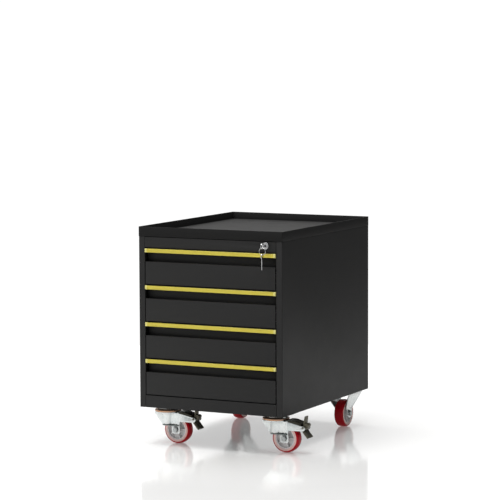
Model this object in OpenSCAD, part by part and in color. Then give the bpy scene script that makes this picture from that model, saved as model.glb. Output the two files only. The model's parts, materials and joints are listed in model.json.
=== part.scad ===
// Mobile workshop cabinet: a sheet-steel body with a shallow tray top, four full-width
// drawers on telescopic rails, one cylinder lock that works a locking bar, two braked
// swivel castors at the front and two fixed castors at the rear.
// Frame: origin on the floor under the middle of the body, X to the right, Y to the back,
// Z up. Millimetres.

/* [Body] */
// Width over the tray rim
cabinet_w = 500; // [460:10:560]
// Depth over the tray rim
cabinet_d = 650; // [600:10:700]
// Height of the body, without the castors
body_h = 570; // [560:5:600]
// Sheet thickness of the body
sheet = 1.5; // [1:0.1:2]
// Outer radius of the bends in the body's sheet
bend_r = 2.5; // [2.2:0.1:4]
// How far the tray stands proud of the panels below it
tray_step = 0.7; // [0.3:0.1:1]
// Height of the tray's outer skirt
tray_band = 30; // [28:1:40]
// Depth of the tray below its rim
tray_depth = 23.5; // [15:0.5:25]
// Wall thickness of the tray rim
rim_wall = 2; // [1.5:0.1:3]
// Width of the front stiles
stile_w = 22; // [20:1:24]
// Height of the bottom rail
rail_h = 38.4; // [30:0.2:50]

/* [Drawers] */
// Height from one handle strip to the next
drawer_pitch = 116.2; // [110:0.1:117]
// Height of the yellow handle strip
strip_h = 12; // [11:0.5:16]
// Height of the finger recess under the strip
recess_h = 29; // [22:1:34]
// Depth of the drawer front, which is also the depth of the finger recess
front_t = 17; // [14:0.5:17]
// Gap around each drawer front
gap = 2; // [1.5:0.1:3]
// Sheet thickness of the drawer box
box_sheet = 1.2; // [1:0.1:1.5]
// Height of the drawer box
box_h = 80; // [60:1:82]
// Length of the drawer box
box_l = 595; // [500:5:600]
// Sideways room for one telescopic rail set
rail_room = 14.5; // [14:0.1:15]

/* [Castors] */
// Overall height of a castor
castor_h = 120; // [118:1:130]
// Wheel diameter
wheel_d = 90; // [80:1:92]
// Wheel width
wheel_w = 32; // [28:1:34]
// Horizontal distance from the swivel axis to the wheel axle
trail = 38; // [34:1:40]
// Distance of the swivel axes from the middle of the body
castor_x = 190; // [170:1:195]
// Distance of the front swivel axes behind the front
castor_front = 77; // [70:1:90]
// Distance of the rear axles behind the front
castor_rear = 585; // [560:1:600]
// Radius of the swivel head
head_r = 42; // [36:1:42]

/* [Lock] */
// Distance of the lock to the right of the middle
lock_x = 193; // [180:1:195]
// Height of the lock above the floor
lock_z = 645.5; // [644:0.5:648]
// Lift of the locking bar
bar_lift = 9.9; // [9:0.1:10]

/* [Hidden] */
$fn = 64;

// Colours
paint = [0.16, 0.16, 0.16];
tray_paint = [0.24, 0.24, 0.24];
yellow = [0.85, 0.75, 0.15];
zinc = [0.78, 0.8, 0.8];
rail_steel = [0.6, 0.62, 0.63];
copper = [0.75, 0.5, 0.35];
red = [0.55, 0.06, 0.07];
silver = [0.82, 0.82, 0.84];
black_steel = [0.1, 0.1, 0.08];
chrome = [0.85, 0.85, 0.87];

// Clearances and cutting overrun
run_clearance = 0.05;
seam = 0.05;
slip = 0.3;
over = 1;

// Body planes
half_w = cabinet_w / 2;
half_d = cabinet_d / 2;
panel_x = half_w - tray_step;
panel_y = half_d - tray_step;
inner_x = panel_x - sheet;
inner_y = panel_y - sheet;
base_z = castor_h;
inside_z = base_z + sheet;
top_z = base_z + body_h;
band_z = top_z - tray_band;
tray_z = top_z - tray_depth;
opening_x = half_w - stile_w;
return_d = 34;
tray_tuck = 10;
bottom_rail_d = 20;
fascia_d = 18;

// Drawer planes
drawer_count = 4;
face_y = -panel_y;
front_half = opening_x - gap;
front_h = drawer_pitch - 2 * gap + 0.8;
fold_back = 14;
strip_lip = 5;
strip_nose = 2.5;
channel_h = 7.5;
channel_d = 0.6;
box_half = opening_x - rail_room;
box_y = face_y + front_t;
box_lift = drawer_pitch - gap - 3.4;
first_top = base_z + 503;
fascia_y = face_y + slip;
fascia_z = first_top + gap + 0.5;
fascia_top = band_z - sheet;
function drawer_top(n) = first_top - (n - 1) * drawer_pitch;
function rail_z(n) = drawer_top(n) - box_lift + 30;

// Telescopic rails: each member is a channel (web plane, lip plane, half height)
rail_y = box_y + 3;
rail_l = 600;
fixed_member = [opening_x - 0.1, opening_x - 10, 22.5];
mid_member = [opening_x - 5, opening_x - 11, 19.5];
inner_member = [box_half, box_half + 6, 15];

// Lock parts
housing_r = 9.5;
housing_end = face_y + 36;
plug_r = 6;
plug_end = housing_end + 0.5;
flange_r = 10.5;
flange_t = 2.5;
cam_t = 3;
crank_r = bar_lift / sqrt(2);
crank_x = crank_r * cos(45);
crank_z = lock_z - crank_r * sin(45);
crank_pin_r = 2;
crank_pin_l = 8;
blade_w = 8;
blade_t = 2.2;
blade_play = 0.1;
keyway_d = 24;
bow_r = 10;
bow_hole_r = 6.5;
key_blade = 34;
notch = 1.8;
bow_y = face_y - 22;
ring_r = 10.5;
ring_wire_r = 0.9;
ring_top = lock_z - 4.5;
spare_bow_r = 9;
spare_hole_r = 2.4;
spare_rim = 1.2;
spare_blade = 32;

// Locking bar, its hooks and the catches on the drawers
bar_x = opening_x + 2;
bar_t = 2;
bar_w = 14;
bar_foot = 20;
arm_half = 8;
arm_slot = 0.6;
hook_x = box_half + 4;
hook_y = housing_end + 2;
hook_t = 2.4;
hook_h = 10;
hook_drop = 3;
catch_t = 2;
catch_h = 8;
catch_reach = 8;
catch_drop = 42;
catch_gap = 1;

// Wheels
wheel_r = wheel_d / 2;
axle_z = wheel_r;
axle_r = 5;
tread = 4.5;
tyre_t = 10;
tyre_inset = 0.5;
tread_round = 3;
crown_h = 1.6;
rim_r = wheel_r - tyre_t;
rim_lip = 5;
rim_inset = 1;
web_half = 3;
hub_r = 12;
rib_t = 3;
rib_count = 5;

// Swivel head: plate, cup, race ring and fork disc, from the top down
plate_t = 3;
plate_x = 105;
plate_y = 85;
cup_r = 33;
cup_z = base_z - 14;
head_z = base_z - 19;
head_t = 3;
ring_z = head_z + slip;
ring_hole_r = 28;
kingpin_r = 6;
kingpin_head_r = 10;
kingpin_head_t = 4;
front_y = castor_front - half_d;

// Fork
leg_in = wheel_w / 2 + 2.5;
leg_t = 2.5;
leg_out = leg_in + leg_t;
fork_under = 57;
hub_half = 14;
hub_drop = 13;
hub_round = 5;
bulge_x = 6;
bulge_r = 28;
bulge_out = 4.5;
bulge_half = 17;

// Brake lever and pedal
lever_x = 46;
lever_z = head_z;
lever_pin_r = 2;
lever_end = 93.6;
cheek_t = 2;
shoe_gap = 1.4;
pedal_x = 101;
pedal_z = 83;
pedal_pin_r = 3;
cam_r = 7;
cam_offset = 2;
pedal_half = leg_in - 1;
curl_r = 6.5;
curl_half = 10;
pad_rib = 1.2;

// Bolts and rear castors
bolt_long = 40;
bolt_short = 30;
bolt_r = 4;
bolt_head_r = 6.5;
bolt_head_t = 4.2;
bolt_l = 16;
bolt_hole_r = 4.5;
nut_flats = 13;
nut_t = 6.5;
axle_flats = 15;
axle_nut_t = 7;
rear_y = castor_rear - half_d;
rear_plate_x = 96;
rear_plate_y = 105;
rear_leg_top = 46;
rear_leg_wide = 50;
rear_foot_r = 15;

// ---------------------------------------------------------------- helpers

// A box between two corners
module block(lo, hi) {
  translate(lo) cube(hi - lo);
}

// A (y, z) outline drawn out along X, centred on x = 0
module along_x(length) {
  rotate([90, 0, 90]) linear_extrude(height = length, center = true) children();
}

// An (x, z) outline drawn out along Y from y0 to y1
module along_y(y0, y1) {
  translate([0, y1, 0]) rotate([90, 0, 0]) linear_extrude(height = y1 - y0) children();
}

// A cylinder along X from x0 to x1
module rod_x(r, x0, x1) {
  translate([x0, 0, 0]) rotate([0, 90, 0]) cylinder(r = r, h = x1 - x0);
}

// A cylinder along Y from y0 to y1
module rod_y(r, y0, y1) {
  translate([0, y1, 0]) rotate([90, 0, 0]) cylinder(r = r, h = y1 - y0);
}

// Children, and again mirrored to the other side of x = 0
module both_sides() {
  children();
  mirror([1, 0, 0]) children();
}

// Rectangle about the origin with rounded corners
module rounded(half_x, half_y, r) {
  square([2 * half_x, 2 * (half_y - r)], center = true);
  square([2 * (half_x - r), 2 * half_y], center = true);
  for (i = [-1, 1], j = [-1, 1])
    translate([i * (half_x - r), j * (half_y - r)]) circle(r = r);
}

// Bend in sheet, in plan: its outer faces would meet at the origin, legs along +X and +Y
module bend() {
  intersection() {
    square(bend_r);
    translate([bend_r, bend_r]) difference() {
      circle(r = bend_r);
      circle(r = bend_r - sheet);
    }
  }
}

// Places children at four bolts around (x, y)
module at_bolts(x, y, across, along) {
  for (i = [-1, 1], j = [-1, 1])
    translate([x + i * across, y + j * along, 0]) children();
}

// Places children at every castor bolt
module at_castor_bolts() {
  for (s = [-1, 1]) {
    at_bolts(s * castor_x, front_y, bolt_long, bolt_short) children();
    at_bolts(s * castor_x, rear_y, bolt_short, bolt_long) children();
  }
}

// Places children at the swivel axis of a front castor, z = 0 at the floor
module at_swivel(s) {
  translate([s * castor_x, front_y, 0]) children();
}

// Places a wheel part, built about Z, at a front wheel
module at_front_wheel(s) {
  translate([s * castor_x + trail, front_y, axle_z]) rotate([90, 0, 0]) children();
}

// Places a wheel part, built about Z, at a rear wheel
module at_rear_wheel(s) {
  translate([s * castor_x, rear_y, axle_z]) rotate([0, 90, 0]) children();
}

// Hexagonal nut or head, standing along Z
module hexagon(flats, height) {
  cylinder(r = flats / sqrt(3), h = height, $fn = 6);
}

// ---------------------------------------------------------------- body

// Right side in plan: panel, front stile with its return, rear flange with its return
module side_outline() {
  translate([panel_x, face_y]) mirror([1, 0]) bend();
  translate([opening_x, face_y]) bend();
  translate([opening_x + bend_r, face_y]) square([stile_w - tray_step - 2 * bend_r, sheet]);
  translate([opening_x, face_y + bend_r]) square([sheet, return_d - bend_r]);
  translate([inner_x, face_y + bend_r]) square([sheet, inner_y - face_y - bend_r]);
  translate([opening_x, inner_y - sheet]) square([panel_x - opening_x, sheet]);
  translate([opening_x, inner_y - return_d]) square([sheet, return_d]);
}

// Right side panel, cut away at the foot where the bottom panel slides in
module side_panel() {
  difference() {
    translate([0, 0, base_z]) linear_extrude(height = band_z - base_z) side_outline();
    block([0, face_y + sheet, base_z - over], [inner_x, inner_y + over, inside_z]);
  }
}

module side_panel_left() {
  color(paint) mirror([1, 0, 0]) side_panel();
}

module side_panel_right() {
  color(paint) side_panel();
}

module back_panel() {
  color(paint) block([-panel_x, inner_y, base_z], [panel_x, panel_y, band_z]);
}

// Floor of the body, under the side flanges
module bottom_panel() {
  color(paint) difference() {
    block([-inner_x, face_y + sheet, base_z], [inner_x, inner_y, inside_z]);
    at_castor_bolts()
      translate([0, 0, base_z - over]) cylinder(r = bolt_hole_r, h = sheet + 2 * over);
  }
}

// Channel across the bottom of the front, under the lowest drawer
module bottom_rail() {
  top = base_z + rail_h;
  color(paint) {
    block([-opening_x, face_y, base_z], [opening_x, face_y + sheet, top]);
    block([-opening_x, face_y, top - sheet], [opening_x, face_y + bottom_rail_d, top]);
  }
}

// Tray top: floor, raised rim, outer skirt and a flange tucked inside each side panel
module top_tray() {
  wall_x = half_w - rim_wall;
  wall_y = half_d - rim_wall;
  color(tray_paint) {
    difference() {
      translate([0, 0, band_z]) linear_extrude(height = tray_band)
        rounded(half_w, half_d, bend_r);
      block([-wall_x, -wall_y, tray_z], [wall_x, wall_y, top_z + over]);
      block([-wall_x, -wall_y, band_z - over], [wall_x, wall_y, tray_z - sheet]);
    }
    both_sides()
      block([inner_x - sheet, face_y + return_d, band_z - tray_tuck],
        [inner_x, inner_y - return_d, tray_z - sheet]);
  }
}

// Fixed strip above the top drawer, which carries the lock
module lock_fascia() {
  color(paint) difference() {
    union() {
      block([-opening_x, fascia_y, fascia_z], [opening_x, fascia_y + sheet, fascia_top]);
      block([-opening_x, fascia_y, fascia_z],
        [opening_x, fascia_y + fascia_d, fascia_z + sheet]);
      block([-opening_x, fascia_y, fascia_top - sheet],
        [opening_x, fascia_y + fascia_d, fascia_top]);
    }
    translate([lock_x, 0, lock_z])
      rod_y(housing_r + run_clearance, face_y - over, fascia_y + sheet + over);
  }
}

// ---------------------------------------------------------------- rails

// One channel member on the right side of a drawer, from y0 to y1 at height z
module rail_member(member, y0, y1, z) {
  lo = min(member[0], member[1]);
  hi = max(member[0], member[1]);
  half = member[2];
  web = member[0] > member[1] ? hi - sheet : lo;
  block([web, y0, z - half], [web + sheet, y1, z + half]);
  block([lo, y0, z - half], [hi, y1, z - half + sheet]);
  block([lo, y0, z + half - sheet], [hi, y1, z + half]);
}

module fixed_rails() {
  for (n = [1:drawer_count])
    rail_member(fixed_member, rail_y, rail_y + rail_l, rail_z(n));
}

module slide_rails_left() {
  color(rail_steel) mirror([1, 0, 0]) fixed_rails();
}

module slide_rails_right() {
  color(rail_steel) fixed_rails();
}

// Middle members, which travel half as far as the drawer
module mid_rails(n) {
  color(rail_steel) both_sides()
    rail_member(mid_member, rail_y + 2, rail_y + rail_l - 20, rail_z(n));
}

// Inner members screwed to the drawer box, and the catch for the locking bar's hook
module inner_rails(n) {
  color(rail_steel) {
    both_sides()
      rail_member(inner_member, box_y + 5, box_y + box_l - 5, rail_z(n));
    translate([box_half, hook_y + hook_t + catch_gap, drawer_top(n) - catch_drop])
      cube([catch_reach - box_sheet, catch_t, catch_h]);
  }
}

// ---------------------------------------------------------------- drawers

// Folded front: flat face, finger recess above it, flange over the handle strip
module drawer_front(n) {
  recess_top = -sheet - strip_h - recess_h;
  color(paint)
    translate([0, face_y, drawer_top(n)]) along_x(2 * front_half)
      polygon([
        [0, -front_h], [fold_back, -front_h], [fold_back, sheet - front_h],
        [sheet, sheet - front_h], [sheet, recess_top - sheet],
        [front_t, recess_top - sheet], [front_t, 0], [0, 0], [0, -sheet],
        [front_t - sheet, -sheet], [front_t - sheet, recess_top], [0, recess_top]
      ]);
}

// Outline of the handle strip in (y, z): rounded nose, shallow channel, rear flange
module strip_outline() {
  difference() {
    union() {
      translate([0, -strip_h]) square([strip_lip - strip_nose, strip_h]);
      translate([-strip_nose, strip_nose - strip_h])
        square([strip_lip, strip_h - 2 * strip_nose]);
      translate([0, -strip_nose]) circle(r = strip_nose);
      translate([0, strip_nose - strip_h]) circle(r = strip_nose);
      translate([0, -sheet]) square([front_t - sheet, sheet]);
    }
    translate([-strip_nose - over, -(strip_h + channel_h) / 2])
      square([over + channel_d, channel_h]);
  }
}

module drawer_handle(n) {
  color(yellow)
    translate([0, face_y, drawer_top(n) - sheet]) along_x(2 * front_half) strip_outline();
}

// Open box of five panels, with a hairline seam where they meet
module drawer_box(n) {
  floor_z = drawer_top(n) - box_lift;
  wall_z = floor_z + box_sheet + seam;
  end_half = box_half - box_sheet - seam;
  top = floor_z + box_h;
  back = box_y + box_l;
  color(paint) {
    block([-box_half, box_y, floor_z], [box_half, back, floor_z + box_sheet]);
    both_sides()
      block([box_half - box_sheet, box_y, wall_z], [box_half, back, top]);
    for (y = [box_y, back - box_sheet])
      block([-end_half, y, wall_z], [end_half, y + box_sheet, top]);
  }
}

// ---------------------------------------------------------------- lock

module lock_housing() {
  color(chrome) translate([lock_x, 0, lock_z]) difference() {
    union() {
      rod_y(housing_r, face_y - over, housing_end);
      rod_y(flange_r, fascia_y - flange_t, fascia_y);
    }
    rod_y(plug_r + run_clearance, face_y - flange_t - over, housing_end + over);
  }
}

// Turning plug with its keyway
module lock_plug() {
  half_t = blade_t / 2 + blade_play;
  half_h = blade_w / 2 + blade_play;
  color(chrome) translate([lock_x, 0, lock_z]) difference() {
    rod_y(plug_r, face_y - flange_t, plug_end);
    block([-half_t, face_y - flange_t - over, -half_h],
      [half_t, face_y + keyway_d, half_h]);
  }
}

// Crank disc on the back of the plug, with the pin that lifts the locking bar
module lock_cam() {
  color(zinc) {
    translate([lock_x, 0, lock_z]) rod_y(crank_r + 3, plug_end, plug_end + cam_t);
    translate([lock_x + crank_x, 0, crank_z])
      rod_y(crank_pin_r, housing_end + cam_t, housing_end + cam_t + crank_pin_l);
  }
}

// Key in the lock: bow, blade along +Y and four notches in its lower edge
module key() {
  color(chrome) translate([lock_x, bow_y, lock_z])
    rotate([90, 0, 90]) linear_extrude(height = blade_t, center = true) difference() {
      union() {
        circle(r = bow_r);
        translate([bow_r - 4, -blade_w / 2]) square([key_blade + 4, blade_w]);
      }
      circle(r = bow_hole_r);
      for (i = [0:3])
        translate([bow_r + key_blade - 5 * (i + 1), -blade_w / 2 - 0.5])
          rotate(45) square(notch + 0.4 * (i % 2), center = true);
    }
}

// Wire ring through the key's bow
module key_ring() {
  color(chrome) translate([lock_x, bow_y, ring_top - ring_r])
    rotate([90, 0, 0]) rotate_extrude() translate([ring_r, 0]) circle(r = ring_wire_r);
}

// Second key, hanging on the ring edge-on to the front
module spare_key() {
  hole_up = spare_bow_r - spare_hole_r - spare_rim;
  ring_low = ring_top - 2 * ring_r;
  color(chrome) translate([lock_x, bow_y, ring_low - hole_up])
    rotate([90, 0, 90]) linear_extrude(height = blade_t, center = true) difference() {
      union() {
        circle(r = spare_bow_r);
        translate([-blade_w / 2, -spare_bow_r - spare_blade])
          square([blade_w, spare_blade + 4]);
      }
      translate([0, hole_up]) circle(r = spare_hole_r);
    }
}

// Flat bar beside the drawers with one hook for each, and an arm to the crank pin
module lock_bar() {
  foot = drawer_top(drawer_count) - catch_drop - bar_foot;
  pin_room = crank_pin_r + 0.4;
  color(zinc) {
    block([bar_x, hook_y, foot], [bar_x + bar_t, hook_y + bar_w, crank_z + arm_half]);
    for (n = [1:drawer_count]) {
      hook_top = drawer_top(n) - catch_drop - hook_drop;
      block([hook_x, hook_y, hook_top - hook_h],
        [bar_x + bar_t, hook_y + hook_t, hook_top]);
    }
    difference() {
      block([lock_x - 2, hook_y + hook_t, crank_z - arm_half],
        [bar_x + bar_t, hook_y + hook_t + 2, crank_z + arm_half]);
      block([lock_x + crank_x - crank_pin_r - arm_slot, hook_y, crank_z - pin_room],
        [lock_x + crank_r + crank_pin_r + arm_slot, hook_y + 8, crank_z + pin_room]);
    }
  }
}

// ---------------------------------------------------------------- wheels

// Points (radius, width) of the crowned tread
function crown(steps) = [
  for (i = [-steps:steps])
    [wheel_r - crown_h * pow(i / steps, 2), i / steps * (wheel_w / 2 - tread_round)]
];

// Polyurethane tyre about Z
module tyre() {
  color(red) rotate_extrude() polygon(concat(
    [[rim_r, tyre_inset - wheel_w / 2], [wheel_r - tread, -wheel_w / 2]],
    crown(6),
    [[wheel_r - tread, wheel_w / 2], [rim_r, wheel_w / 2 - tyre_inset]]
  ));
}

// Aluminium rim about Z: flange, recessed web with ribs, and a hub bored for the axle
module rim() {
  lip = rim_r - rim_lip;
  flange = wheel_w / 2 - rim_inset;
  color(silver) difference() {
    union() {
      rotate_extrude() polygon([
        [1, -web_half], [1, web_half], [lip, web_half], [lip, flange], [rim_r, flange],
        [rim_r, -flange], [lip, -flange], [lip, -web_half]
      ]);
      cylinder(r = hub_r, h = wheel_w + 2, center = true);
      for (i = [1:rib_count])
        rotate(i * 360 / rib_count)
          translate([hub_r - 1, -rib_t / 2, web_half - flange])
            cube([lip - hub_r + 2, rib_t, 2 * (flange - web_half)]);
    }
    cylinder(r = axle_r + run_clearance, h = wheel_w + 4, center = true);
  }
}

// Axle bolt with head and nut, lying along Z and centred on the wheel
module axle_bolt() {
  cylinder(r = axle_r, h = 2 * leg_out + 12, center = true);
  translate([0, 0, leg_out]) hexagon(axle_flats, axle_nut_t - 1);
  translate([0, 0, -leg_out - axle_nut_t]) hexagon(axle_flats, axle_nut_t);
}

module front_axle(s) {
  color(zinc) at_front_wheel(s) axle_bolt();
}

module rear_axles() {
  color(zinc) for (s = [-1, 1]) at_rear_wheel(s) axle_bolt();
}

// ---------------------------------------------------------------- swivel castors

// Top plate of a swivel castor with the cup that carries the races
module castor_plate(s) {
  color(zinc) at_swivel(s) difference() {
    union() {
      block([-plate_x / 2, -plate_y / 2, base_z - plate_t],
        [plate_x / 2, plate_y / 2, base_z]);
      translate([0, 0, cup_z]) cylinder(r = cup_r, h = base_z - plate_t - cup_z + over);
    }
    translate([0, 0, cup_z - over])
      cylinder(r = kingpin_r + run_clearance, h = base_z - cup_z + 2 * over);
    at_bolts(0, 0, bolt_long, bolt_short)
      translate([0, 0, base_z - plate_t - over])
        cylinder(r = bolt_hole_r, h = plate_t + 2 * over);
  }
}

// Passivated race rings between the top plates and the forks
module swivel_rings() {
  color(copper) for (s = [-1, 1])
    at_swivel(s) translate([0, 0, ring_z]) difference() {
      cylinder(r = head_r, h = cup_z - ring_z);
      translate([0, 0, -over]) cylinder(r = ring_hole_r, h = cup_z - ring_z + 2 * over);
    }
}

module kingpins() {
  color(zinc) for (s = [-1, 1])
    at_swivel(s) {
      translate([0, 0, head_z - head_t - slip - kingpin_head_t])
        cylinder(r = kingpin_head_r, h = kingpin_head_t);
      translate([0, 0, head_z - head_t - over])
        cylinder(r = kingpin_r, h = base_z - head_z + head_t + over);
    }
}

// Outline of a fork leg in (x, z) from the swivel axis and the floor
module leg_outline() {
  cradle_top = lever_z - 1;
  difference() {
    union() {
      polygon([
        [-36, head_z - 1], [-38, 92], [-20, 72], [-7, fork_under], [50, fork_under],
        [52, 71], [pedal_x, 72], [pedal_x, 86.3], [60, 95.5],
        [lever_x + 3.5, 96.7], [lever_x + 3.5, cradle_top], [lever_x - 3.5, cradle_top],
        [lever_x - 3.5, 97.4], [36, 98], [36, head_z - 1]
      ]);
      translate([trail - hub_half, axle_z - hub_drop + hub_round])
        square([2 * hub_half, fork_under - axle_z + hub_drop - hub_round + over]);
      translate([trail - hub_half + hub_round, axle_z - hub_drop])
        square([2 * (hub_half - hub_round), hub_round + over]);
      for (i = [-1, 1])
        translate([trail + i * (hub_half - hub_round), axle_z - hub_drop + hub_round])
          circle(r = hub_round);
      translate([pedal_x, pedal_z - 3]) circle(r = cam_r);
    }
    translate([trail, axle_z]) circle(r = axle_r + run_clearance);
    translate([pedal_x, pedal_z]) circle(r = pedal_pin_r + run_clearance);
    translate([lever_x, lever_z]) circle(r = lever_pin_r + run_clearance);
  }
}

// Rolled stiffener pressed out of the fork leg on one side
module fork_bulge(side) {
  inner = side * (leg_out - leg_t / 2);
  outer = side * (leg_out + bulge_out + over);
  intersection() {
    translate([bulge_x, side * (leg_out + bulge_out - bulge_r), fork_under])
      cylinder(r = bulge_r, h = head_z - head_t - fork_under);
    block([bulge_x - bulge_half, min(inner, outer), fork_under - over],
      [bulge_x + bulge_half, max(inner, outer), head_z]);
  }
}

// Pressed swivel fork: head disc, two legs with arms over the wheel, rolled stiffeners
module fork(s) {
  color(zinc) at_swivel(s) {
    difference() {
      translate([0, 0, head_z - head_t]) cylinder(r = head_r, h = head_t);
      translate([0, 0, head_z - head_t - over])
        cylinder(r = kingpin_r + run_clearance, h = head_t + 2 * over);
    }
    along_y(-leg_out, -leg_in) leg_outline();
    along_y(leg_in, leg_out) leg_outline();
    fork_bulge(-1);
    fork_bulge(1);
  }
}

// Brake lever: arched strap on a cross pin, cheeks outside the fork, shoe over the tread
module brake_lever(s) {
  color(black_steel) at_swivel(s) {
    translate([lever_x, 0, lever_z]) rod_y(lever_pin_r, -leg_out - over, leg_out + over);
    along_y(-leg_out - over, leg_out + over)
      polygon([
        [lever_x - 1, 101.5], [lever_x - 1, 103.5], [54, 104], [66, 102.5], [80, 99],
        [lever_end, 94.5], [lever_end, 90], [80, 93], [60, 98]
      ]);
    for (side = [-1, 1])
      translate([0, side * (leg_out + over + cheek_t / 2), 0])
        along_y(-cheek_t / 2, cheek_t / 2)
          polygon([[lever_x - 1.5, 102.5], [54, 104], [66, 102.5], [66, 97], [56, 98]]);
    along_y(-pedal_half + 1, pedal_half - 1) difference() {
      polygon([
        [60, 98.5], [60, 71], [84, 71], [lever_end, 77], [lever_end, 93], [80, 97]
      ]);
      translate([trail, axle_z]) circle(r = wheel_r + shoe_gap);
    }
  }
}

// Lower flap of the pedal in (x, z), with its upper face raised by `lift`
module pad_outline(lift) {
  polygon([
    [96, 72], [100 + lift, 74 + lift], [118.6 + lift, 51.5 + lift], [115, 49]
  ]);
}

// Rocking brake pedal: eccentric barrel on its pin, rolled curl, upright and ribbed flaps
module brake_pedal(s) {
  color(black_steel) at_swivel(s) {
    translate([pedal_x, 0, pedal_z]) rod_y(pedal_pin_r, -leg_out - 2, leg_out + 2);
    translate([pedal_x, 0, pedal_z - cam_offset]) rod_y(cam_r, -pedal_half, pedal_half);
    translate([pedal_x + cam_r, 0, pedal_z + 6]) rod_y(curl_r, -curl_half, curl_half);
    along_y(-curl_half, curl_half)
      polygon([
        [96.5, 86], [97.5, 94], [102.5, 117], [106, 116.5], [103.5, 96], [108, 90],
        [pedal_x, pedal_z]
      ]);
    along_y(-pedal_half, pedal_half) pad_outline(0);
    for (i = [-2:2])
      translate([0, i * pedal_half / 2.5, 0]) along_y(-pad_rib, pad_rib) pad_outline(pad_rib);
  }
}

// ---------------------------------------------------------------- fixed castors

// Both legs in (y, z) seen from the side: wide under the plate, round about the axle
module rear_leg_outline() {
  polygon([
    [-rear_foot_r, axle_z], [1 - rear_leg_wide, base_z - 18], [-rear_leg_wide, base_z],
    [rear_leg_wide, base_z], [rear_leg_wide - 1, base_z - 18], [rear_foot_r, axle_z]
  ]);
  translate([0, axle_z]) circle(r = rear_foot_r);
}

// Right leg in (x, z) seen from the front: upright beside the hub, then leaning outwards
module rear_leg_section() {
  knee = axle_z + 18;
  foot = axle_z - rear_foot_r - over;
  lean = rear_leg_top - leg_out;
  polygon([
    [leg_in, foot], [leg_out, foot], [leg_out, knee],
    [leg_out + lean, base_z - over], [leg_in + lean - over, base_z - over],
    [leg_in, knee + over]
  ]);
}

// Fixed castor bracket: plate and two legs that lean in to the axle
module rear_bracket(s) {
  color(zinc) translate([s * castor_x, rear_y, 0]) difference() {
    union() {
      block([-rear_plate_x / 2, -rear_plate_y / 2, base_z - plate_t],
        [rear_plate_x / 2, rear_plate_y / 2, base_z]);
      intersection() {
        both_sides() along_y(-rear_leg_wide, rear_leg_wide) rear_leg_section();
        along_x(rear_plate_x) rear_leg_outline();
      }
    }
    translate([0, 0, axle_z])
      rod_x(axle_r + run_clearance, -rear_plate_x / 2, rear_plate_x / 2);
    at_bolts(0, 0, bolt_short, bolt_long)
      translate([0, 0, base_z - plate_t - over])
        cylinder(r = bolt_hole_r, h = plate_t + 2 * over);
  }
}

// One plate bolt: low head under the plate, nut on the bottom panel
module plate_bolt() {
  translate([0, 0, base_z - plate_t - bolt_head_t])
    cylinder(r = bolt_head_r, h = bolt_head_t);
  translate([0, 0, base_z - plate_t - over]) cylinder(r = bolt_r, h = bolt_l);
  translate([0, 0, inside_z]) hexagon(nut_flats, nut_t);
}

module castor_bolts() {
  color(zinc) at_castor_bolts() plate_bolt();
}

// ---------------------------------------------------------------- nodes

side_panel_left();
side_panel_right();
back_panel();
bottom_panel();
bottom_rail();
top_tray();
lock_fascia();
slide_rails_left();
slide_rails_right();
lock_housing();
castor_bolts();
castor_plate(-1);  // castor_plate_left
castor_plate(1);  // castor_plate_right
swivel_rings();
kingpins();
rear_bracket(-1);  // rear_bracket_left
rear_bracket(1);  // rear_bracket_right
rear_axles();
lock_bar();
for (n = [1:drawer_count]) {
  drawer_front(n);
  drawer_box(n);
  drawer_handle(n);
  inner_rails(n);
  mid_rails(n);
}
lock_plug();
lock_cam();
key();
key_ring();
spare_key();
fork(-1);  // fork_left
fork(1);  // fork_right
front_axle(-1);  // front_axle_left
front_axle(1);  // front_axle_right
brake_lever(-1);  // brake_lever_left
brake_lever(1);  // brake_lever_right
brake_pedal(-1);  // brake_pedal_left
brake_pedal(1);  // brake_pedal_right
at_front_wheel(-1) tyre();  // front_tyre_left
at_front_wheel(1) tyre();  // front_tyre_right
at_front_wheel(-1) rim();  // front_rim_left
at_front_wheel(1) rim();  // front_rim_right
at_rear_wheel(-1) tyre();  // rear_tyre_left
at_rear_wheel(1) tyre();  // rear_tyre_right
at_rear_wheel(-1) rim();  // rear_rim_left
at_rear_wheel(1) rim();  // rear_rim_right
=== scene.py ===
"""Looks of the mobile tool cabinet: materials, small added pieces, floor, lights and camera."""
import json
from math import cos, pi, radians, sin

import bmesh
import bpy
from mathutils import Matrix, Vector


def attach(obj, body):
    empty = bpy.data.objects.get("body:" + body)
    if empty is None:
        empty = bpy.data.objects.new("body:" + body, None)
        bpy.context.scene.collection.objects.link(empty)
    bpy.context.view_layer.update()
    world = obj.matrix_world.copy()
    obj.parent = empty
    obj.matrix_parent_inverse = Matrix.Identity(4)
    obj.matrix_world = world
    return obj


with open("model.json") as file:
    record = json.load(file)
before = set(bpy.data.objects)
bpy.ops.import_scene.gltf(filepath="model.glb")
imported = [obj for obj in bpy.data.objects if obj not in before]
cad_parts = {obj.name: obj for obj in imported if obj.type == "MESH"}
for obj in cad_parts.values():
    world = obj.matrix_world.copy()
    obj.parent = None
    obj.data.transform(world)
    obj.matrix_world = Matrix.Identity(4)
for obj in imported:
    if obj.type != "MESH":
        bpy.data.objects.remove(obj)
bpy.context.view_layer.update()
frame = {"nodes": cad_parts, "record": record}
MM = 0.001
NODES = frame["nodes"]
JOINT_AT = {
    joint["name"]: Vector(joint["pos_m"])
    for joint in frame["record"]["behaviour"]["joints"] if "pos_m" in joint
}
SIDES = {"left": -1, "right": 1}
DRAWERS = (1, 2, 3, 4)


# ------------------------------------------------------------------ material kit

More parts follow.
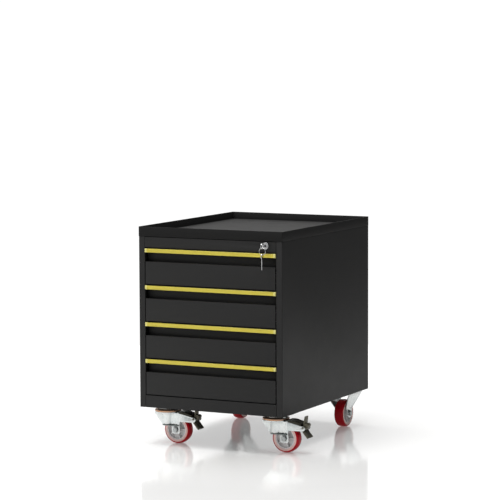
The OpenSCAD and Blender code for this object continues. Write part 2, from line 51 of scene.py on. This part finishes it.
class Look:
    """One Principled material and short names for the nodes that feed it."""

    def __init__(self, name, **sockets):
        self.mat = bpy.data.materials.new(name)
        self.mat.use_nodes = True
        self.tree = self.mat.node_tree
        self.bsdf = self.tree.nodes["Principled BSDF"]
        for key, value in sockets.items():
            self.bsdf.inputs[key.replace("_", " ")].default_value = value
        self.place = self.node("ShaderNodeTexCoord").outputs["Object"]

    def node(self, kind, **inputs):
        made = self.tree.nodes.new(kind)
        for key, value in inputs.items():
            self.feed(made.inputs[key.replace("_", " ")], value)
        return made

    def feed(self, socket, value):
        if isinstance(value, bpy.types.NodeSocket):
            self.tree.links.new(value, socket)
        else:
            socket.default_value = value

    def stretched(self, scale):
        """Object coordinates scaled on each axis."""
        mapping = self.node("ShaderNodeMapping", Vector=self.place)
        mapping.inputs["Scale"].default_value = scale
        return mapping.outputs["Vector"]

    def noise(self, size, detail=3.0, rough=0.5, stretch=(1, 1, 1), distortion=0.0):
        """Noise whose blobs are about `size` metres across, longer where stretch is under 1."""
        made = self.node(
            "ShaderNodeTexNoise", Vector=self.stretched(stretch), Scale=1 / size,
            Detail=detail, Roughness=rough, Distortion=distortion,
        )
        return made.outputs["Fac"]

    def ramp(self, fac, low, high):
        """0 below `low`, 1 above `high`, straight between."""
        made = self.node("ShaderNodeMapRange", Value=fac)
        made.inputs["From Min"].default_value = low
        made.inputs["From Max"].default_value = high
        return made.outputs["Result"]

    def span(self, fac, low, high):
        """Maps 0..1 to low..high."""
        made = self.node("ShaderNodeMapRange", Value=fac)
        made.inputs["To Min"].default_value = low
        made.inputs["To Max"].default_value = high
        return made.outputs["Result"]

    def maths(self, operation, a, b):
        """A sum or product, kept within 0..1."""
        made = self.tree.nodes.new("ShaderNodeMath")
        made.operation = operation
        made.use_clamp = True
        self.feed(made.inputs[0], a)
        self.feed(made.inputs[1], b)
        return made.outputs[0]

    def mix(self, fac, a, b):
        """Colour `a` where `fac` is 0, `b` where it is 1."""
        made = self.tree.nodes.new("ShaderNodeMix")
        made.data_type = "RGBA"
        self.feed(made.inputs["Factor"], fac)
        for socket, value in zip([i for i in made.inputs if i.type == "RGBA"], (a, b)):
            self.feed(socket, value if isinstance(value, bpy.types.NodeSocket) else (*value, 1))
        return next(o for o in made.outputs if o.type == "RGBA")

    def edges(self, radius):
        """About 1 on convex and concave edges, 0 on flat faces."""
        bevel = self.node("ShaderNodeBevel", Radius=radius)
        bevel.samples = 4
        flat = self.node("ShaderNodeNewGeometry").outputs["Normal"]
        dot = self.tree.nodes.new("ShaderNodeVectorMath")
        dot.operation = "DOT_PRODUCT"
        self.feed(dot.inputs[0], bevel.outputs["Normal"])
        self.feed(dot.inputs[1], flat)
        return self.ramp(self.maths("SUBTRACT", 1.0, dot.outputs["Value"]), 0.02, 0.25)

    def open_air(self, reach):
        """1 on open faces, falling towards 0 deep in corners and recesses."""
        made = self.node("ShaderNodeAmbientOcclusion", Distance=reach)
        made.samples = 6
        return made.outputs["AO"]

    def facing_up(self):
        """1 on level faces that look up, 0 on walls."""
        normal = self.node("ShaderNodeNewGeometry").outputs["Normal"]
        parts = self.node("ShaderNodeSeparateXYZ", Vector=normal)
        return self.ramp(parts.outputs["Z"], 0.6, 1.0)

    def bump(self, height, depth, strength=1.0, under=None):
        """Bump of `depth` metres."""
        made = self.node("ShaderNodeBump", Height=height, Strength=strength, Distance=depth)
        if under is not None:
            self.feed(made.inputs["Normal"], under)
        return made.outputs["Normal"]

    def finish(self, colour, roughness, normal=None):
        """Feeds the shader and hands the material over."""
        self.feed(self.bsdf.inputs["Base Color"], colour)
        self.feed(self.bsdf.inputs["Roughness"], roughness)
        if normal is not None:
            self.feed(self.bsdf.inputs["Normal"], normal)
        return self.mat


def grey(tone, warm=0.0):
    """A grey, turned towards red by the share `warm`."""
    return (tone * (1 + warm), tone, tone * (1 - warm))


def shade(colour, share):
    """The colour with each part multiplied by a share."""
    return tuple(part * share for part in colour)


# ------------------------------------------------------------------ materials

def powder_coat(name, tone, rough=(0.54, 0.64), shine=0.5, corner=30, deep=0.25):
    """Charcoal powder coat: fine orange peel, faint mottling, edges lightened: a painted highlight
    along the bends, broken up like rubbed wear.

    Within `corner` millimetres of a corner or recess, tone and shine fall to the share `deep`:
    painted shade.
    """
    look = Look(name, IOR=1.45)
    mottle = look.noise(0.09, detail=5, rough=0.6)
    grain = look.noise(0.0016, detail=2)
    peel = look.noise(0.0045, detail=2)
    colour = look.mix(mottle, grey(tone * 0.9), grey(tone * 1.1, 0.01))
    colour = look.mix(look.span(grain, 0.0, 0.35), colour, grey(tone * 1.25))
    # Painted highlight: edges lightened towards 3.2 times the tone under a noise mask, standing for
    # light on the bends as well as rubbing
    rubbed_and_highlit = look.maths("MULTIPLY", look.edges(1.2 * MM), look.noise(0.02, detail=4))
    colour = look.mix(look.maths("MULTIPLY", rubbed_and_highlit, 0.55), colour, grey(tone * 3.2))
    dust = look.maths("MULTIPLY", look.facing_up(), look.noise(0.05, detail=6, rough=0.7))
    colour = look.mix(look.maths("MULTIPLY", dust, 0.06), colour, grey(0.35, 0.03))
    # Painted shade: colour and shine fall off in corners and recesses, by ambient occlusion
    clear = look.ramp(look.open_air(corner * MM), 0.35, 0.95)
    colour = look.mix(clear, grey(tone * deep), colour)
    look.feed(look.bsdf.inputs["Specular IOR Level"], look.span(clear, shine * deep, shine))
    scuff = look.ramp(look.noise(0.004, detail=3, stretch=(0.08, 0.08, 1)), 0.62, 0.8)
    polish = look.maths("MULTIPLY", scuff, 0.05)
    roughness = look.maths("SUBTRACT", look.span(mottle, *rough), polish)
    normal = look.bump(peel, 0.00010, 0.5)
    normal = look.bump(grain, 0.00005, 0.6, normal)
    return look.finish(colour, roughness, normal)


def yellow_coat():
    """Satin yellow coat over a drawn profile: faint draw lines, rubbed edges, patches of grime."""
    look = Look("handle_yellow", IOR=1.5)
    draw_lines = look.noise(0.0012, detail=3, stretch=(0.01, 1, 1))
    patch = look.noise(0.03, detail=5)
    colour = look.mix(patch, (0.64, 0.52, 0.045), (0.74, 0.63, 0.07))
    colour = look.mix(look.span(draw_lines, 0.0, 0.25), colour, (0.80, 0.71, 0.12))
    chips = look.ramp(look.noise(0.012, detail=5), 0.5, 0.8)
    worn = look.maths("MULTIPLY", look.edges(0.8 * MM), chips)
    colour = look.mix(look.maths("MULTIPLY", worn, 0.5), colour, (0.85, 0.80, 0.35))
    grime = look.ramp(look.noise(0.016, detail=6, rough=0.75), 0.66, 0.86)
    colour = look.mix(look.maths("MULTIPLY", grime, 0.25), colour, (0.25, 0.19, 0.03))
    normal = look.bump(draw_lines, 0.00003, 0.5)
    return look.finish(colour, look.span(patch, 0.30, 0.42), normal)


def plated(name, low, high, rough, tint=None, streak=(1, 1, 1), cast=0.0, deep=0.22, metal=1.0):
    """Bare or plated metal: cloudy tone between `low` and `high`, spots of grime, fine lines.

    The lines run along the axis where `streak` is under 1. `tint` colours some patches, `cast` is
    the depth in metres of a cast surface's bump, and corners fall to the share `deep` of `low`.
    """
    look = Look(name, Metallic=metal)
    cloud = look.noise(0.018, detail=5, rough=0.6)
    colour = look.mix(cloud, low, high)
    if tint is not None:
        patch = look.ramp(look.noise(0.03, detail=2, distortion=1.0), 0.45, 0.75)
        colour = look.mix(look.maths("MULTIPLY", patch, 0.35), colour, tint)
    spots = look.ramp(look.noise(0.007, detail=6, rough=0.7), 0.6, 0.85)
    colour = look.mix(look.maths("MULTIPLY", spots, 0.4), colour, shade(low, 0.45))
    # Painted shade: colour falls towards the share `deep` of `low` in corners and recesses within 14
    # mm
    clear = look.ramp(look.open_air(14 * MM), 0.25, 0.9)
    colour = look.mix(clear, shade(low, deep), colour)
    lines = look.noise(0.0012, detail=4, stretch=streak)
    roughness = look.maths("ADD", look.span(cloud, *rough), look.maths("MULTIPLY", lines, 0.06))
    normal = look.bump(lines, 0.00003, 0.4)
    if cast:
        normal = look.bump(look.noise(0.002, detail=4), cast, 0.6, normal)
    return look.finish(colour, roughness, normal)


def polyurethane():
    """Red cast polyurethane: slightly translucent, a little dusty, with a fine grain."""
    look = Look("tyre_red", IOR=1.38, Subsurface_Weight=0.08, Subsurface_Scale=0.003,
                Specular_IOR_Level=0.3)
    look.bsdf.inputs["Subsurface Radius"].default_value = (1.0, 0.15, 0.1)
    patch = look.noise(0.02, detail=4)
    colour = look.mix(patch, (0.44, 0.003, 0.010), (0.58, 0.006, 0.018))
    dust = look.ramp(look.noise(0.006, detail=6, rough=0.75), 0.58, 0.85)
    colour = look.mix(look.maths("MULTIPLY", dust, 0.08), colour, (0.30, 0.06, 0.06))
    fine = look.noise(0.0011, detail=3)
    normal = look.bump(fine, 0.00006, 0.5)
    return look.finish(colour, look.span(patch, 0.30, 0.44), normal)


def black_plated(name, tone, rough):
    """Olive-black plated steel with brighter worn edges."""
    look = Look(name, Metallic=0.55)
    patch = look.noise(0.012, detail=5, rough=0.65)
    colour = look.mix(patch, shade((1.0, 0.93, 0.72), tone), shade((1.9, 1.75, 1.2), tone))
    chips = look.ramp(look.noise(0.006, detail=4), 0.45, 0.75)
    worn = look.maths("MULTIPLY", look.edges(0.9 * MM), chips)
    colour = look.mix(look.maths("MULTIPLY", worn, 0.6), colour, (0.34, 0.32, 0.26))
    fine = look.noise(0.0014, detail=3)
    return look.finish(colour, look.span(patch, *rough), look.bump(fine, 0.00005, 0.5))


def tyre_bead_painted_highlight():
    """Pale, glossy edge of the polyurethane where it is bonded over the rim's flange, its near-white
    pink partly a painted highlight kept bright through the wheel's shade.
    """
    look = Look("tyre_bead_painted_highlight", IOR=1.5, Subsurface_Weight=0.2, Subsurface_Scale=0.003)
    look.bsdf.inputs["Subsurface Radius"].default_value = (1.0, 0.4, 0.35)
    patch = look.noise(0.012, detail=5)
    # Painted highlight: near-white pink, raised so the bead stays bright in the wheel's shade
    colour = look.mix(patch, (0.95, 0.58, 0.54), (0.98, 0.70, 0.66))
    grime = look.ramp(look.noise(0.005, detail=6, rough=0.7), 0.6, 0.85)
    colour = look.mix(look.maths("MULTIPLY", grime, 0.2), colour, (0.42, 0.12, 0.11))
    fine = look.noise(0.0010, detail=3)
    return look.finish(colour, look.span(patch, 0.18, 0.32), look.bump(fine, 0.00004, 0.5))


def end_cap():
    """Moulded yellow plastic, paler than the coated strip: the paleness is partly a painted highlight
    where the strip's ends catch the light.
    """
    look = Look("cap_yellow_painted_highlight", IOR=1.46)
    patch = look.noise(0.008, detail=4)
    # Painted highlight in part: the caps' paler yellow stands for light caught on the strip's ends
    colour = look.mix(patch, (0.76, 0.69, 0.20), (0.84, 0.78, 0.28))
    worn = look.maths("MULTIPLY", look.edges(0.6 * MM), look.noise(0.004, detail=3))
    colour = look.mix(look.maths("MULTIPLY", worn, 0.4), colour, (0.88, 0.85, 0.52))
    fine = look.noise(0.0008, detail=3)
    return look.finish(colour, look.span(patch, 0.42, 0.55), look.bump(fine, 0.00004, 0.5))


PAINT = powder_coat("body_paint", 0.0135, shine=0.41)
# The tray is the body's own paint: its slightly lower tone is painted shade against the extra light
# on its upward face, and its corners get painted shade within 16 mm
TRAY = powder_coat("tray_paint", 0.0125, (0.66, 0.76), 0.2, corner=16, deep=0.6)
YELLOW = yellow_coat()
ZINC = plated("zinc", (0.58, 0.62, 0.62), (0.94, 0.95, 0.94), (0.14, 0.28), (0.46, 0.56, 0.56))
NUT = plated("axle_steel", (0.34, 0.37, 0.37), (0.58, 0.60, 0.60), (0.26, 0.40))
# Zinc darkened to stand for the shadow line under each fork's lower edge: painted shade
LIP_PAINTED_SHADE = plated("lip_steel_painted_shade", (0.15, 0.17, 0.17), (0.27, 0.30, 0.29), (0.34, 0.48))
RAIL = plated("rail_steel", (0.42, 0.43, 0.44), (0.56, 0.57, 0.57), (0.26, 0.36), streak=(1, 0.02, 1))
COPPER = plated("race_copper", (0.50, 0.27, 0.16), (0.66, 0.40, 0.26), (0.28, 0.40),
                (0.60, 0.45, 0.40))
CHROME = plated("lock_chrome", (0.60, 0.60, 0.61), (0.75, 0.75, 0.76), (0.10, 0.20))
RIM = plated("rim_aluminium", (0.84, 0.82, 0.82), (0.95, 0.93, 0.93), (0.36, 0.48),
             cast=0.00015, deep=0.8, metal=0.35)
BRAKE = black_plated("brake_black", 0.03, (0.26, 0.38))
# The brake's black plating at a lighter olive tone, partly a painted highlight for the light that the
# pedal catches
PEDAL_LIT = black_plated("pedal_olive_painted_lit", 0.08, (0.28, 0.42))
TYRE = polyurethane()
BEAD_HIGHLIT = tyre_bead_painted_highlight()
CAP_HIGHLIT = end_cap()

# Nodes whose finish differs from the rest of their slot, by a word in the node's name; the pedal's
# lighter tone is partly a painted highlight
BY_NAME = {"axle": NUT, "pedal": PEDAL_LIT}
BY_SLOT = {
    "body_paint": PAINT, "tray_paint": TRAY, "handle_yellow": YELLOW, "rail_steel": RAIL,
    "zinc": ZINC, "race_copper": COPPER, "lock_chrome": CHROME, "tyre_red": TYRE,
    "rim_aluminium": RIM, "brake_black": BRAKE,
}


# ------------------------------------------------------------------ CAD nodes

# Edges sharper than this many degrees stay sharp in the shading and are rounded by soften()
EDGE_ANGLE = 28
# Radius of the rounded edges in millimetres
SHEET_EDGE, WHEEL_EDGE, SMALL_EDGE = 0.55, 0.6, 0.35
# Nodes with no edge worth rounding: the small plate bolts, and round wire
LEFT_SHARP = ("castor_bolts", "key_ring")


def smooth_by_angle(mesh, angle):
    """Smooth shading, except across edges sharper than `angle` degrees."""
    for face in mesh.polygons:
        face.use_smooth = True
    mesh.set_sharp_from_angle(angle=radians(angle))


def soften(obj, width, segments=2):
    """Rounds the sharp edges of a piece by modifiers, which leave its own mesh alone."""
    weld = obj.modifiers.new("weld", "WELD")
    weld.merge_threshold = 0.02 * MM
    flat = obj.modifiers.new("flat", "DECIMATE")
    flat.decimate_type = "DISSOLVE"
    flat.angle_limit = radians(1.0)
    bevel = obj.modifiers.new("bevel", "BEVEL")
    bevel.width = width * MM
    bevel.segments = segments
    bevel.limit_method = "ANGLE"
    bevel.angle_limit = radians(EDGE_ANGLE)
    bevel.harden_normals = True
    bevel.use_clamp_overlap = True


def edge_radius(name, slot):
    """Radius in millimetres that suits a node: folded sheet, wheel or small part."""
    if slot in ("body_paint", "tray_paint"):
        return SHEET_EDGE
    if "rim" in name or "tyre" in name:
        return WHEEL_EDGE
    return SMALL_EDGE


def dress_nodes():
    """Gives every CAD node its material, smooth shading and rounded edges."""
    slots = {row["node"]: row["material_slot"] for row in frame["record"]["subparts"]}
    for name, obj in NODES.items():
        obj.data.materials.clear()
        finish = next((mat for word, mat in BY_NAME.items() if word in name), BY_SLOT[slots[name]])
        obj.data.materials.append(finish)
        smooth_by_angle(obj.data, EDGE_ANGLE)
        if name not in LEFT_SHARP:
            soften(obj, edge_radius(name, slots[name]))


dress_nodes()


# ------------------------------------------------------------------ added pieces

# All lengths of the added pieces are in millimetres
# Outer face of a fork's or bracket's leg, from the wheel's middle plane
LEG_FACE = 21.0
# Folded lip: where it starts from the swivel axis, and its length along X
LIP_FROM, LIP_LENGTH = -6.0, 53.0
# End cap: how far it stands out beyond the strip's end, and how far it laps back over it
CAP_OUT, CAP_LAP = 1.3, 6.0

# Sections as (radius, height from the wheel's middle plane)
BEAD_SECTION = [
    (32.2, 14.6), (32.2, 15.4), (32.8, 15.8), (35.0, 16.1), (37.6, 16.5), (38.8, 16.3),
    (39.3, 15.8), (39.3, 15.0),
]
# As (radius, height from the leg's face)
WASHER_SECTION = [(5.2, 0.0), (5.2, 1.0), (9.7, 1.0), (10.2, 0.6), (10.2, 0.0)]
# As (distance out from the leg's face, height over the floor)
LIP_SECTION = [
    (0.2, 61.2), (0.7, 59.3), (2.2, 58.8), (4.4, 58.8), (4.9, 59.3), (4.9, 60.6),
    (5.6, 60.6), (5.7, 57.7), (4.9, 56.9), (0.2, 56.9),
]
# As (place along Y from the strip's back edge, height over its top)
CAP_SECTION = [
    (-18.3, -10.1), (-18.3, -1.9), (-17.2, -0.2), (-15.4, 0.3), (-12.6, 0.3), (-12.6, -12.3),
    (-15.4, -12.3), (-17.2, -11.8),
]


def new_piece(name, mesh, material, angle):
    """Puts a finished mesh into the scene with one material and smooth shading."""
    mesh.materials.append(material)
    smooth_by_angle(mesh, angle)
    obj = bpy.data.objects.new(name, mesh)
    bpy.context.scene.collection.objects.link(obj)
    return obj


def turned(name, section, material, steps=72):
    """A closed section of (radius, height) turned about Z."""
    mesh = bpy.data.meshes.new(name)
    count = len(section)
    turns = [2 * pi * i / steps for i in range(steps)]
    points = [(r * MM * cos(a), r * MM * sin(a), h * MM) for a in turns for r, h in section]
    faces = [
        (i * count + j, (i + 1) % steps * count + j,
         (i + 1) % steps * count + (j + 1) % count, i * count + (j + 1) % count)
        for i in range(steps) for j in range(count)
    ]
    mesh.from_pydata(points, [], faces)
    return new_piece(name, mesh, material, angle=35)


def drawn(name, section, start, length, material):
    """A closed (y, z) section in metres, drawn along X from `start` over a signed `length`."""
    mesh = bpy.data.meshes.new(name)
    shape = bmesh.new()
    face = shape.faces.new([shape.verts.new((start, y, z)) for y, z in section])
    made = bmesh.ops.extrude_face_region(shape, geom=[face])
    moved = [item for item in made["geom"] if isinstance(item, bmesh.types.BMVert)]
    bmesh.ops.translate(shape, verts=moved, vec=(length, 0, 0))
    bmesh.ops.recalc_face_normals(shape, faces=shape.faces)
    shape.to_mesh(mesh)
    shape.free()
    return new_piece(name, mesh, material, angle=30)


def wheel_places():
    """Name, wheel body, body of the legs, and a matrix whose Z is the axle, for each wheel."""
    for side in SIDES:
        for end, legs, across in (("front", f"castor_{side}", "X"), ("rear", "root", "Y")):
            wheel = f"{end}_wheel_{side}"
            middle = Matrix.Translation(JOINT_AT[f"{wheel}_spin"])
            yield f"{end}_{side}", wheel, legs, middle @ Matrix.Rotation(pi / 2, 4, across)


def add_wheel_trim():
    """Pale beads of each tyre, lapped over the rim's flanges, their paleness partly a painted
    highlight, and washers on the axles.
    """
    for name, wheel, legs, axle in wheel_places():
        for end, half_turn in (("a", 0), ("b", pi)):
            turn = axle @ Matrix.Rotation(half_turn, 4, "X")
            bead = turned(f"bead_{name}_{end}", BEAD_SECTION, BEAD_HIGHLIT)
            bead.matrix_world = turn
            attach(bead, wheel)
            washer = turned(f"washer_{name}_{end}", WASHER_SECTION, ZINC, steps=40)
            washer.matrix_world = turn @ Matrix.Translation((0, 0, LEG_FACE * MM))
            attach(washer, legs)


def add_fork_lips():
    """The lower edge of each swivel fork's legs, folded outwards and turned up at its rim, in dark
    steel that is painted shade for the shadow line along that edge.
    """
    for side in SIDES:
        swivel = JOINT_AT[f"swivel_{side}"]
        for end, face in (("front", -1), ("rear", 1)):
            section = [(swivel.y + face * (LEG_FACE + out) * MM, z * MM) for out, z in LIP_SECTION]
            start = swivel.x + LIP_FROM * MM
            lip = drawn(f"fork_lip_{side}_{end}", section, start, LIP_LENGTH * MM, LIP_PAINTED_SHADE)
            soften(lip, 0.4, 3)
            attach(lip, f"castor_{side}")


def add_end_caps():
    """A moulded cap laps over each end of every handle strip and closes it."""
    for n in DRAWERS:
        strip = [vertex.co for vertex in NODES[f"drawer_{n}_handle"].data.vertices]
        back = max(point.y for point in strip)
        top = max(point.z for point in strip)
        strip_end = max(point.x for point in strip)
        section = [(back + y * MM, top + z * MM) for y, z in CAP_SECTION]
        for side, sign in SIDES.items():
            start = sign * (strip_end - CAP_LAP * MM)
            cap = drawn(f"cap_{n}_{side}", section, start, sign * (CAP_LAP + CAP_OUT) * MM, CAP_HIGHLIT)
            soften(cap, 0.6, 3)
            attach(cap, f"drawer_{n}")


add_wheel_trim()
add_fork_lips()
add_end_caps()


# ------------------------------------------------------------------ floor, lights, camera

# Floor disc in metres: past FADE_FROM its colour and gloss give way to an even white glow
FLOOR_RADIUS = 2.6
FADE_FROM, FADE_TO = 0.9, 2.2
GLOW_NEAR, GLOW_FAR = 0.13, 1.06

# Strengths of the room's light, and the sides that it comes from
ROOM_DARK, ROOM_LIGHT = 0.12, 0.55
ROOM_SIDE, ROOM_FADE = (-0.6, -0.8, 0.0), (-0.2, 1.0)
BACKDROP_SIDE, BACKDROP_FADE = (-0.447, 0.894, 0.05), (0.80, 0.93)
WHITE_BEHIND = 1.05

# Lens and sensor in millimetres, turns in degrees, place in metres
LENS, SENSOR = 168.75, 36
YAW, PITCH, ROLL = 26.65, 5.412, 0.221
CAMERA_PLACE = (3.3387, -6.6977, 1.3066)


def floor_white():
    """Pale polished floor that fades into the white background."""
    look = Look("floor_white", IOR=1.45)
    haze = look.noise(0.6, detail=2)
    colour = look.mix(haze, (0.87, 0.868, 0.86), (0.90, 0.898, 0.89))
    look.feed(look.bsdf.inputs["Emission Color"], (1.0, 0.995, 0.985, 1.0))
    reach = look.tree.nodes.new("ShaderNodeVectorMath")
    reach.operation = "LENGTH"
    look.feed(reach.inputs[0], look.place)
    far = look.ramp(reach.outputs["Value"], FADE_FROM, FADE_TO)
    colour = look.mix(far, colour, (0.0, 0.0, 0.0))
    look.feed(look.bsdf.inputs["Emission Strength"], look.span(far, GLOW_NEAR, GLOW_FAR))
    look.feed(look.bsdf.inputs["Specular IOR Level"], look.span(far, 0.5, 0.0))
    return look.finish(colour, look.span(haze, 0.085, 0.11))


def build_floor():
    mesh = bpy.data.meshes.new("floor")
    disc = bmesh.new()
    bmesh.ops.create_circle(disc, cap_ends=True, segments=96, radius=FLOOR_RADIUS)
    disc.to_mesh(mesh)
    disc.free()
    mesh.materials.append(floor_white())
    floor = bpy.data.objects.new("floor", mesh)
    bpy.context.scene.collection.objects.link(floor)


def rising(tree, place, side, fade, low=0.0, high=1.0):
    """Rises from `low` to `high` as the direction `place` turns towards `side`."""
    facing = tree.nodes.new("ShaderNodeVectorMath")
    facing.operation = "DOT_PRODUCT"
    facing.inputs[1].default_value = Vector(side).normalized()
    tree.links.new(place, facing.inputs[0])
    rise = tree.nodes.new("ShaderNodeMapRange")
    rise.interpolation_type = "SMOOTHSTEP"
    rise.inputs["From Min"].default_value, rise.inputs["From Max"].default_value = fade
    rise.inputs["To Min"].default_value = low
    rise.inputs["To Max"].default_value = high
    tree.links.new(facing.outputs["Value"], rise.inputs["Value"])
    return rise.outputs["Result"]


def build_world():
    """White to the camera; to everything else a dim room, lighter at the front left and behind."""
    world = bpy.data.worlds.new("studio")
    bpy.context.scene.world = world
    world.use_nodes = True
    tree = world.node_tree
    place = tree.nodes.new("ShaderNodeTexCoord").outputs["Generated"]
    strength = tree.nodes.new("ShaderNodeMath")
    strength.operation = "MAXIMUM"
    front_left = rising(tree, place, ROOM_SIDE, ROOM_FADE, ROOM_DARK, ROOM_LIGHT)
    tree.links.new(front_left, strength.inputs[0])
    tree.links.new(rising(tree, place, BACKDROP_SIDE, BACKDROP_FADE), strength.inputs[1])
    room = tree.nodes["Background"]
    tree.links.new(strength.outputs["Value"], room.inputs["Strength"])
    white = tree.nodes.new("ShaderNodeBackground")
    white.inputs["Strength"].default_value = WHITE_BEHIND
    for background in (room, white):
        background.inputs["Color"].default_value = (1, 1, 1, 1)
    path = tree.nodes.new("ShaderNodeLightPath")
    pick = tree.nodes.new("ShaderNodeMixShader")
    tree.links.new(path.outputs["Is Camera Ray"], pick.inputs["Fac"])
    tree.links.new(room.outputs[0], pick.inputs[1])
    tree.links.new(white.outputs[0], pick.inputs[2])
    tree.links.new(pick.outputs[0], tree.nodes["World Output"].inputs["Surface"])


def build_light(name, energy, size, place, target):
    """A square soft panel of `size` metres at `place`, facing `target`."""
    data = bpy.data.lights.new(name, "AREA")
    data.shape = "SQUARE"
    data.energy = energy
    data.size = size
    obj = bpy.data.objects.new(name, data)
    bpy.context.scene.collection.objects.link(obj)
    obj.location = place
    away = Vector(place) - Vector(target)
    obj.rotation_euler = away.to_track_quat("Z", "Y").to_euler()


def build_camera():
    data = bpy.data.cameras.new("camera")
    data.sensor_width = SENSOR
    data.lens = LENS
    obj = bpy.data.objects.new("camera", data)
    bpy.context.scene.collection.objects.link(obj)
    turn = (
        Matrix.Rotation(radians(YAW), 4, "Z") @ Matrix.Rotation(pi / 2 - radians(PITCH), 4, "X")
        @ Matrix.Rotation(-radians(ROLL), 4, "Z")
    )
    obj.matrix_world = Matrix.Translation(CAMERA_PLACE) @ turn
    bpy.context.scene.camera = obj
    bpy.context.scene.view_settings.view_transform = "Standard"


build_floor()
build_world()
build_light("overhead", energy=115, size=2.6, place=(-0.3, -0.2, 2.9), target=(0, 0, 0.3))
build_camera()
